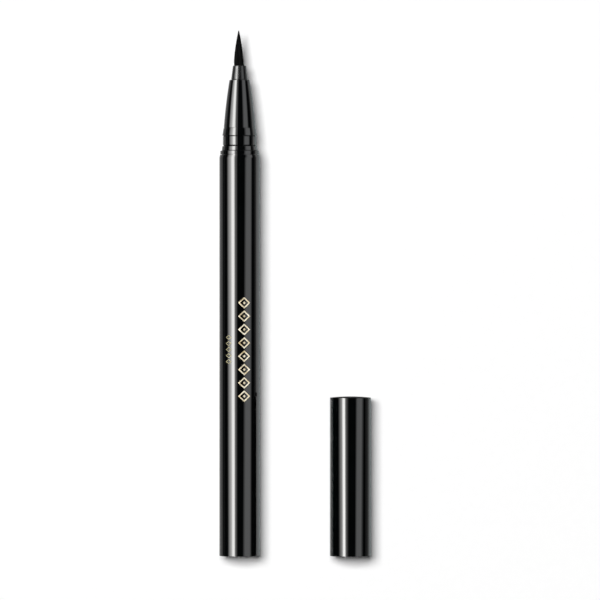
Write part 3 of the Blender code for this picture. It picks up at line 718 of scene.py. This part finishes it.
def add_bristle(shape, index, chance):
    """One bristle: it keeps its place in the bundle as that narrows, and ends in a point."""
    turn = index * GOLDEN_ANGLE
    strand = BRISTLE_FILL_SHARE * brush_radius / 2 * math.sqrt(math.pi / BRISTLE_COUNT)
    orbit = (brush_radius - strand) * math.sqrt((index + 0.5) / BRISTLE_COUNT)
    last = 1.0
    if index > 0:
        last = SHORTEST_SHARE + (LONGEST_SHARE - SHORTEST_SHARE) * chance.random()
    first = -BRUSH_DEPTH / brush_length
    wander = WANDER_SHARE * strand
    x, z = pen_axis
    rings = []
    for knot in range(BRISTLE_KNOTS):
        share = first + (last - first) * knot / BRISTLE_KNOTS
        scale = bundle_share(share)
        point = min(1.0, (last - share) / POINT_SHARE) ** 0.5
        size = strand * scale * point
        lean = bundle_lean(share)
        cx = x + scale * orbit * math.cos(turn) - lean + wander * chance.uniform(-1, 1)
        cz = z + scale * orbit * math.sin(turn) + wander * chance.uniform(-1, 1)
        y = ferrule_front + brush_length * share
        ring = []
        for i in range(BRISTLE_SIDES):
            angle = turn + math.tau * i / BRISTLE_SIDES
            ring.append(shape.verts.new((cx + size * math.cos(angle), y, cz + size * math.sin(angle))))
        rings.append(ring)
    scale = bundle_share(last)
    lean = bundle_lean(last)
    tip = shape.verts.new(
        (
            x + scale * orbit * math.cos(turn) - lean,
            ferrule_front + brush_length * last,
            z + scale * orbit * math.sin(turn),
        )
    )
    shape.faces.new(rings[0])
    for low, high in zip(rings, rings[1:]):
        for i in range(BRISTLE_SIDES):
            j = (i + 1) % BRISTLE_SIDES
            shape.faces.new((low[j], low[i], high[i], high[j]))
    for i in range(BRISTLE_SIDES):
        shape.faces.new((rings[-1][(i + 1) % BRISTLE_SIDES], rings[-1][i], tip))


def make_brush():
    """The bristles, and the glued root that holds them behind the ferrule's front."""
    chance = random.Random(BRISTLE_SEED)
    shape = bmesh.new()
    for index in range(BRISTLE_COUNT):
        add_bristle(shape, index, chance)
    bmesh.ops.recalc_face_normals(shape, faces=shape.faces)
    bristles = add_mesh("brush_bristles", shape)
    finish_piece(bristles, "pen", "brush", bristle_black, "nose")
    slice_front = ferrule_front - BRUSH_DEPTH + FIT_GAP
    corners = [
        (0, brush_back, 0),
        (brush_radius + BRUSH_FLANGE_RIM, brush_back, EDGE_ROUND),
        (brush_radius + BRUSH_FLANGE_RIM, brush_back + BRUSH_FLANGE_LENGTH, EDGE_ROUND),
        (brush_radius, brush_back + BRUSH_FLANGE_LENGTH, EDGE_ROUND),
        (brush_radius, slice_front, EDGE_ROUND),
        (0, slice_front, 0),
    ]
    root = turned("brush_root", rounded(corners), pen_axis, ROOT_SIDES)
    finish_piece(root, "pen", None, bristle_black, "nose")


# Gold ornament

def add_foil(shape, turn, loops):
    """A closed band of foil on the barrel between two loops of (along, around) points."""
    x, z = pen_axis
    outside, inside = loops
    under = barrel_radius - FOIL_THICKNESS
    over = barrel_radius + FOIL_THICKNESS
    rings = []
    for loop, radius in ((outside, under), (outside, over), (inside, over), (inside, under)):
        ring = []
        for along, around in loop:
            angle = turn + around / barrel_radius
            y = brush_tip - ORNAMENT_MIDDLE + along
            ring.append(shape.verts.new((x + radius * math.sin(angle), y, z + radius * math.cos(angle))))
        rings.append(ring)
    for low, high in zip(rings, rings[1:] + rings[:1]):
        for i in range(len(low)):
            j = (i + 1) % len(low)
            shape.faces.new((low[i], low[j], high[j], high[i]))


def lozenge_loop(middle, half_length, half_breadth):
    """Points round a lozenge, close enough together to follow the barrel's curve."""
    corners = [(half_length, 0), (0, half_breadth), (-half_length, 0), (0, -half_breadth)]
    points = []
    for (a, b), (c, d) in zip(corners, corners[1:] + corners[:1]):
        for i in range(LOZENGE_STEPS):
            share = i / LOZENGE_STEPS
            points.append((middle + a + (c - a) * share, b + (d - b) * share))
    return points


def add_lozenge(shape, turn, middle, half_length, half_breadth, stroke=None):
    """A lozenge of foil: a frame with a stroke, or filled but for a pinhole."""
    if stroke:
        inner = 1 - stroke * math.hypot(half_length, half_breadth) / (half_length * half_breadth)
    else:
        inner = PINHOLE_SHARE
    outside = lozenge_loop(middle, half_length, half_breadth)
    inside = lozenge_loop(middle, half_length * inner, half_breadth * inner)
    add_foil(shape, turn, (outside, inside))


def make_ornament():
    """A chain of open lozenges, each round a bead."""
    shape = bmesh.new()
    for i in range(CHAIN_COUNT):
        middle = (i - (CHAIN_COUNT - 1) / 2) * CHAIN_PITCH
        add_lozenge(shape, CHAIN_TURN, middle, CHAIN_LENGTH, CHAIN_BREADTH, CHAIN_STROKE)
        add_lozenge(shape, CHAIN_TURN, middle, BEAD_SIZE, BEAD_SIZE)
    bmesh.ops.recalc_face_normals(shape, faces=shape.faces)
    ornament = add_mesh("foil_ornament", shape)
    finish_piece(ornament, "pen", None, gold_foil)


def make_small_ornament():
    """A short, fine row of open lozenges beside the chain."""
    shape = bmesh.new()
    for i in range(SMALL_CHAIN_COUNT):
        middle = (i - (SMALL_CHAIN_COUNT - 1) / 2) * SMALL_CHAIN_PITCH
        add_lozenge(
            shape, SMALL_CHAIN_TURN, middle, SMALL_CHAIN_LENGTH, SMALL_CHAIN_BREADTH, SMALL_CHAIN_STROKE,
        )
    bmesh.ops.recalc_face_normals(shape, faces=shape.faces)
    ornament = add_mesh("ink_ornament", shape)
    finish_piece(ornament, "pen", None, gold_ink)


# Pieces of the cap

def make_cap_shell():
    """The cap: a slightly domed end, a softly rounded mouth and the snap bead inside."""
    mouth_bore = cap_radius - MOUTH_BORE_DROP
    snap_bore = cap_radius - SNAP_BORE_DROP
    liner_bore = half_width("cap_liner") + FIT_GAP
    crown_edge = crown + CROWN_LIFT - CROWN_RISE
    crown_inner = crown - CROWN_THICKNESS
    bead = cap_mouth + BEAD_START
    dome = []
    for i in range(1, PROFILE_STEPS):
        share = 1 - i / PROFILE_STEPS
        dome.append(((cap_radius - CROWN_ROUND) * share, crown_edge + CROWN_RISE * (1 - share**2), 0))
    corners = [
        (0, crown_inner - BOSS_HEIGHT, 0),
        (BOSS_RADIUS, crown_inner - BOSS_HEIGHT, EDGE_ROUND),
        (BOSS_RADIUS, crown_inner, EDGE_ROUND),
        (liner_bore, crown_inner, EDGE_ROUND),
        (liner_bore, cap_mouth + SNAP_BORE_DEPTH, EDGE_ROUND),
        (snap_bore, cap_mouth + SNAP_BORE_DEPTH, EDGE_ROUND),
        (snap_bore, bead + BEAD_RAMP * 2 + BEAD_LENGTH, EDGE_ROUND),
        (snap_bore - BEAD_HEIGHT, bead + BEAD_RAMP + BEAD_LENGTH, EDGE_ROUND * 2),
        (snap_bore - BEAD_HEIGHT, bead + BEAD_RAMP, EDGE_ROUND * 2),
        (snap_bore, bead, EDGE_ROUND),
        (snap_bore, cap_mouth + MOUTH_DEPTH, EDGE_ROUND),
        (mouth_bore, cap_mouth + MOUTH_DEPTH, EDGE_ROUND),
        (mouth_bore, cap_mouth, MOUTH_ROUND),
        (cap_radius, cap_mouth, MOUTH_ROUND),
        (cap_radius, crown_edge, CROWN_ROUND),
        *dome,
        (0, crown + CROWN_LIFT, 0),
    ]
    shell = turned("cap_outer_shell", rounded(corners), cap_axis)
    finish_piece(shell, "cap", "cap_shell", gloss_black)


def inner_flange_back():
    """Where the inner cap's flange starts, behind the boss that its spring stands on."""
    return ends("inner_cap")[1] - BOSS_HEIGHT - INNER_FLANGE_LENGTH


def make_cap_liner():
    """The sleeve inside the cap, which guides the inner cap."""
    front, back = ends("cap_liner")
    outer = half_width("cap_liner")
    guide = half_width("inner_cap") - INNER_FLANGE_RIM + FIT_GAP
    pocket = half_width("inner_cap") + FIT_GAP
    ledge = inner_flange_back() - SEAT_GAP
    corners = [
        (outer, front, EDGE_ROUND),
        (guide, front, LIP_CHAMFER),
        (guide, ledge, EDGE_ROUND),
        (pocket, ledge, EDGE_ROUND),
        (pocket, back, EDGE_ROUND),
        (outer, back, EDGE_ROUND),
    ]
    liner = turned("cap_inner_liner", rounded(corners), cap_axis)
    finish_piece(liner, "cap", "cap_liner", white_plastic)


def make_inner_cap():
    """The sprung cup that seals on the cone."""
    front, boss = ends("inner_cap")
    end = boss - BOSS_HEIGHT
    flange = half_width("inner_cap")
    wall = flange - INNER_FLANGE_RIM
    bore = wall - INNER_WALL
    corners = [
        (0, end - INNER_END, 0),
        (bore, end - INNER_END, LIP_CHAMFER),
        (bore, front, INNER_LIP_CHAMFER),
        (wall, front, EDGE_ROUND),
        (wall, inner_flange_back(), EDGE_ROUND),
        (flange, inner_flange_back(), EDGE_ROUND),
        (flange, end, EDGE_ROUND),
        (BOSS_RADIUS, end, EDGE_ROUND),
        (BOSS_RADIUS, boss, EDGE_ROUND),
        (0, boss, 0),
    ]
    inner = turned("cap_sealing_cup", rounded(corners), cap_axis)
    finish_piece(inner, "inner_cap", "inner_cap", milky_plastic)


def make_spring():
    """The coil behind the inner cap, with closed ends."""
    front, fixed = ends("inner_cap_spring")
    radius = BOSS_RADIUS + FIT_GAP + WIRE_RADIUS
    x, z = cap_axis
    length = fixed - front - 2 * WIRE_RADIUS
    pitch = (length - 2 * END_PITCH) / (SPRING_TURNS - 2)
    line = []
    for i in range(SPRING_TURNS * TURN_POINTS + 1):
        turns = i / TURN_POINTS
        middle_turns = min(max(turns - 1, 0), SPRING_TURNS - 2)
        along = END_PITCH * (turns - middle_turns) + pitch * middle_turns
        out = Vector((math.cos(math.tau * turns), 0, math.sin(math.tau * turns)))
        line.append((Vector((x, front + WIRE_RADIUS + along, z)) + radius * out, out))
    shape = bmesh.new()
    rings = []
    for i, (centre, out) in enumerate(line):
        forward = (line[min(i + 1, len(line) - 1)][0] - line[max(i - 1, 0)][0]).normalized()
        side = forward.cross(out).normalized()
        ring = []
        for k in range(WIRE_SIDES):
            angle = math.tau * k / WIRE_SIDES
            offset = math.cos(angle) * out + math.sin(angle) * side
            ring.append(shape.verts.new(centre + WIRE_RADIUS * offset))
        rings.append(ring)
    for low, high in zip(rings, rings[1:]):
        for k in range(WIRE_SIDES):
            j = (k + 1) % WIRE_SIDES
            shape.faces.new((low[k], low[j], high[j], high[k]))
    shape.faces.new(rings[0])
    shape.faces.new(rings[-1])
    bmesh.ops.recalc_face_normals(shape, faces=shape.faces)
    spring = add_mesh("cap_coil_spring", shape)
    finish_piece(spring, "cap", "inner_cap_spring", steel)
    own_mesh(spring)


# Inner nodes that keep their solids

def dress_inner_nodes():
    finishes = {
        "ink_tank": milky_plastic,
        "tank_plug": white_plastic,
        "tank_gasket": rubber,
        "mixing_ball": steel,
        "feed_core": fibre,
        "collector": white_plastic,
        "brush_collar": white_plastic,
    }
    for node, material in finishes.items():
        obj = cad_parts[node]
        obj.data.materials.clear()
        obj.data.materials.append(material)
        lit["pen"].objects.link(obj)


# Floor, light and camera

def make_floor():
    shape = bmesh.new()
    bmesh.ops.create_grid(shape, x_segments=1, y_segments=1, size=FLOOR_SIZE / 2)
    floor = add_mesh("floor", shape)
    material, tree, shader = new_material("floor", roughness=1.0, specular_ior_level=0.0)
    grain = add_noise(tree, 2 * MM, 3)
    mix_colours(tree, grain, (0.975, 0.975, 0.975), (0.985, 0.985, 0.985), shader.inputs["Base Color"])
    floor.data.materials.append(material)


def make_key():
    """A big soft box almost overhead, towards the tip and the left."""
    lamp = bpy.data.lights.new("key", "AREA")
    lamp.shape = "RECTANGLE"
    lamp.energy = KEY_STRENGTH * math.pi * KEY_DISTANCE**2
    lamp.size = 2 * KEY_DISTANCE * math.tan(KEY_HALF_ACROSS)
    lamp.size_y = 2 * KEY_DISTANCE * math.tan(KEY_HALF_ALONG)
    key = bpy.data.objects.new("key", lamp)
    bpy.context.scene.collection.objects.link(key)
    key.rotation_euler = (-KEY_TILT, KEY_TURN, 0)
    key.location = key.rotation_euler.to_matrix() @ Vector((0, 0, KEY_DISTANCE))
    key.visible_glossy = False


def new_stage_material(name):
    material = bpy.data.materials.new(name)
    material.use_nodes = True
    tree = material.node_tree
    tree.nodes.clear()
    return material, tree, tree.nodes.new("ShaderNodeOutputMaterial")


def add_ramp(tree, stops):
    """A colour that follows (share, colour) stops over the first way of a piece's UV map."""
    coordinates = tree.nodes.new("ShaderNodeTexCoord")
    split = tree.nodes.new("ShaderNodeSeparateXYZ")
    ramp = tree.nodes.new("ShaderNodeValToRGB")
    elements = ramp.color_ramp.elements
    while len(elements) < len(stops):
        elements.new(0.5)
    for element, (share, colour) in zip(elements, stops):
        element.position = share
        element.color = (*colour, 1)
    tree.links.new(coordinates.outputs["UV"], split.inputs["Vector"])
    tree.links.new(split.outputs["X"], ramp.inputs["Fac"])
    return ramp.outputs["Color"]


def keep_to_gloss(obj):
    """Make a piece of the studio show in reflections alone."""
    obj.visible_camera = False
    obj.visible_diffuse = False
    obj.visible_shadow = False


def make_card(name, group, stops, drift, swing, tint):
    """A long softbox over one group's pieces, which only their gloss sees.

    Its stops are (angle from overhead, radiance).
    """
    distance = CARD_DISTANCES[group]
    start, end = stops[0][0], stops[-1][0]
    middle = math.radians((start + end) / 2)
    half = distance * math.tan(math.radians((end - start) / 2))
    shape = bmesh.new()
    shape.loops.layers.uv.new("across")
    bmesh.ops.create_grid(shape, x_segments=1, y_segments=CARD_ROWS, size=0.5, calc_uvs=True)
    for vert in shape.verts:
        last = vert.co.x > 0
        along = vert.co.y * CARD_LENGTH
        turn = drift[last] * max(-1, min(1, -along / DRIFT_REACH))
        turn += swing[last] * max(0, min(1, (along - DRIFT_REACH) / SWING_REACH))
        angle = (end if last else start) + turn
        vert.co = (distance * math.tan(math.radians(angle) - middle), along, 0)
    card = add_mesh(name, shape)
    card.location = (
        (cap_axis if group == "cap" else pen_axis)[0] + distance * math.sin(middle),
        CAP_CARD_MIDDLE if group == "cap" else 0,
        distance * math.cos(middle),
    )
    card.rotation_euler = (0, middle, 0)
    material, tree, output = new_stage_material(name)
    glow = tree.nodes.new("ShaderNodeEmission")
    clear = tree.nodes.new("ShaderNodeBsdfTransparent")
    both = tree.nodes.new("ShaderNodeAddShader")
    brightest = max(level for _, level in stops)
    levels = []
    for angle, level in stops:
        offset = distance * math.tan(math.radians(angle) - middle)
        levels.append(((offset + half) / (2 * half), [part * level / brightest for part in tint]))
    glow.inputs["Strength"].default_value = brightest
    tree.links.new(add_ramp(tree, levels), glow.inputs["Color"])
    tree.links.new(glow.outputs["Emission"], both.inputs[0])
    tree.links.new(clear.outputs["BSDF"], both.inputs[1])
    tree.links.new(both.outputs["Shader"], output.inputs["Surface"])
    card.data.materials.append(material)
    card.light_linking.receiver_collection = lit[group]
    keep_to_gloss(card)


def make_flag(name, corners, shades, colour=BLACK):
    """A dark flag, clear from behind, whose opacity follows (share of its length, shade) stops.

    Its four corners run round its dark face, the first two along its start.
    """
    shape = bmesh.new()
    shape.faces.new([shape.verts.new(corner) for corner in corners])
    flag = add_mesh(name, shape)
    uv = flag.data.uv_layers.new(name="length")
    for loop, share in zip(uv.data, (0, 0, 1, 1)):
        loop.uv = (share, 0.5)
    material, tree, output = new_stage_material(name)
    clear = tree.nodes.new("ShaderNodeBsdfTransparent")
    cloth = tree.nodes.new("ShaderNodeBsdfDiffuse")
    cloth.inputs["Color"].default_value = (*colour, 1)
    mix = tree.nodes.new("ShaderNodeMixShader")
    side = tree.nodes.new("ShaderNodeNewGeometry")
    front = tree.nodes.new("ShaderNodeMath")
    front.operation = "SUBTRACT"
    front.inputs[0].default_value = 1
    shade = tree.nodes.new("ShaderNodeMath")
    shade.operation = "MULTIPLY"
    levels = [(share, (level, level, level)) for share, level in shades]
    tree.links.new(side.outputs["Backfacing"], front.inputs[1])
    tree.links.new(front.outputs["Value"], shade.inputs[0])
    tree.links.new(add_ramp(tree, levels), shade.inputs[1])
    tree.links.new(shade.outputs["Value"], mix.inputs["Fac"])
    tree.links.new(clear.outputs["BSDF"], mix.inputs[1])
    tree.links.new(cloth.outputs["BSDF"], mix.inputs[2])
    tree.links.new(mix.outputs["Shader"], output.inputs["Surface"])
    flag.data.materials.append(material)
    keep_to_gloss(flag)


def make_floor_flag(name, edge, reach, start, end, shades, colour=BLACK):
    """A flag just over the floor, from a piece's edge outwards; a negative reach runs to the left."""
    near, far = (start, end) if reach < 0 else (end, start)
    z = FLOOR_FLAG_LIFT
    corners = [(edge, near, z), (edge, far, z), (edge + reach, far, z), (edge + reach, near, z)]
    make_flag(name, corners, shades, colour)


def make_wall_flag(name, edge, reach, start, end, shades):
    """An upright flag that faces a piece's edge from this reach, from the floor up."""
    near, far = (start, end) if reach < 0 else (end, start)
    x = edge + reach
    top = FLAG_HEIGHT
    make_flag(name, [(x, near, 0), (x, far, 0), (x, far, top), (x, near, top)], shades)


def make_flags():
    """Dark flags along the flanks, which dim the floor and the room in the gloss of the rims."""
    left = pen_axis[0] - barrel_radius
    right = pen_axis[0] + barrel_radius
    start, end = tail - FLANK_MARGIN, brush_tip + FLANK_MARGIN
    make_floor_flag("pen_left_floor", left, -PEN_LEFT_REACH, start, end, PEN_LEFT_FLOOR)
    make_wall_flag("pen_left_wall", left, -PEN_LEFT_REACH, start, end, PEN_LEFT_WALL)
    make_floor_flag("pen_right_floor", right, PEN_RIGHT_REACH, start, end, PEN_RIGHT_FLOOR, TEAL)
    make_wall_flag("pen_right_wall", right, PEN_RIGHT_WALL_REACH, start, end, PEN_RIGHT_WALL)
    left = cap_axis[0] - cap_radius
    right = cap_axis[0] + cap_radius
    make_wall_flag("cap_left_wall", left, -CAP_LEFT_REACH, start, crown, CAP_LEFT_WALL)
    make_floor_flag("cap_right_floor", right, CAP_RIGHT_REACH, start, crown, CAP_RIGHT_FLOOR, TEAL)
    make_wall_flag("cap_right_wall", right, CAP_RIGHT_REACH, start, crown, CAP_RIGHT_WALL)
    # Dark flags before the crown: painted shade on the floor and room that the crown's domed face
    # reflects
    left -= CROWN_MARGIN
    right += CROWN_MARGIN
    ahead = crown + CROWN_REACH
    z = FLOOR_FLAG_LIFT
    top = FLAG_HEIGHT
    floor = [(left, ahead, z), (left, crown, z), (right, crown, z), (right, ahead, z)]
    wall = [(left, ahead, 0), (right, ahead, 0), (right, ahead, top), (left, ahead, top)]
    make_flag("crown_floor", floor, CROWN_SHADE)
    make_flag("crown_wall", wall, CROWN_SHADE)


def fade(tree, value, start, end):
    """A number that falls from 1 to 0 as a value goes from start to end."""
    spread = tree.nodes.new("ShaderNodeMapRange")
    spread.inputs["From Min"].default_value = start
    spread.inputs["From Max"].default_value = end
    spread.inputs["To Min"].default_value = 1
    spread.inputs["To Max"].default_value = 0
    tree.links.new(value, spread.inputs["Value"])
    return spread.outputs["Result"]


def calculate(tree, operation, *values):
    """One step of arithmetic on numbers or other nodes' results."""
    step = tree.nodes.new("ShaderNodeMath")
    step.operation = operation
    for socket, value in zip(step.inputs, values):
        if isinstance(value, (int, float)):
            socket.default_value = value
        else:
            tree.links.new(value, socket)
    return step.outputs["Value"]


def make_world():
    """A dim room, white to the camera, with a pale backdrop that gloss sees low ahead and behind."""
    world = bpy.data.worlds.new("studio")
    bpy.context.scene.world = world
    world.use_nodes = True
    tree = world.node_tree
    coordinates = tree.nodes.new("ShaderNodeTexCoord")
    split = tree.nodes.new("ShaderNodeSeparateXYZ")
    tree.links.new(coordinates.outputs["Generated"], split.inputs["Vector"])
    path = tree.nodes.new("ShaderNodeLightPath")
    height = fade(tree, split.outputs["Z"], 0, BACKDROP_TOP)
    side = fade(tree, calculate(tree, "ABSOLUTE", split.outputs["X"]), *BACKDROP_SIDES)
    shape = calculate(tree, "MULTIPLY", height, side)
    backdrop = calculate(tree, "MULTIPLY", shape, BACKDROP_STRENGTH)
    seen = calculate(tree, "MULTIPLY_ADD", backdrop, path.outputs["Is Glossy Ray"], WORLD_STRENGTH)
    strength = calculate(tree, "MAXIMUM", seen, path.outputs["Is Camera Ray"])
    background = tree.nodes["Background"]
    background.inputs["Color"].default_value = (1, 1, 1, 1)
    tree.links.new(strength, background.inputs["Strength"])


def make_camera():
    camera = bpy.data.objects.new("camera", bpy.data.cameras.new("camera"))
    bpy.context.scene.collection.objects.link(camera)
    bpy.context.scene.camera = camera
    camera.location = (CAMERA_X, CAMERA_Y, CAMERA_HEIGHT)
    camera.data.lens = LENS
    camera.data.clip_start = 1 * MM


bpy.context.scene.view_settings.view_transform = "Standard"
gloss_black = make_gloss_black()
satin_black = make_satin_black()
soft_black = make_soft_black()
bristle_black = make_bristle_black()
milky_plastic = make_milky_plastic()
white_plastic = make_white_plastic()
rubber = make_rubber()
steel = make_steel()
fibre = make_fibre()
gold_foil = make_gold_foil()
gold_ink = make_gold_ink()

make_camera()
make_barrel()
make_tail_plug()
make_neck_sleeve()
make_front_cone()
make_ferrule()
make_brush()
make_ornament()
make_small_ornament()
make_cap_shell()
make_cap_liner()
make_inner_cap()
make_spring()
dress_inner_nodes()
make_floor()
make_key()
make_card("pen_left_card", "pen", PEN_LEFT, PEN_LEFT_DRIFT, NO_SWING, WARM)
make_card("pen_right_card", "pen", PEN_RIGHT, PEN_RIGHT_DRIFT, PEN_RIGHT_SWING, COOL)
make_card("nose_left_card", "nose", PEN_LEFT, NOSE_LEFT_DRIFT, NO_SWING, WARM)
make_card("nose_right_card", "nose", PEN_RIGHT, NOSE_RIGHT_DRIFT, NO_SWING, COOL)
make_card("cap_left_card", "cap", CAP_LEFT, CAP_LEFT_DRIFT, NO_SWING, WARM)
make_card("cap_right_card", "cap", CAP_RIGHT, CAP_RIGHT_DRIFT, NO_SWING, COOL)
make_flags()
make_world()
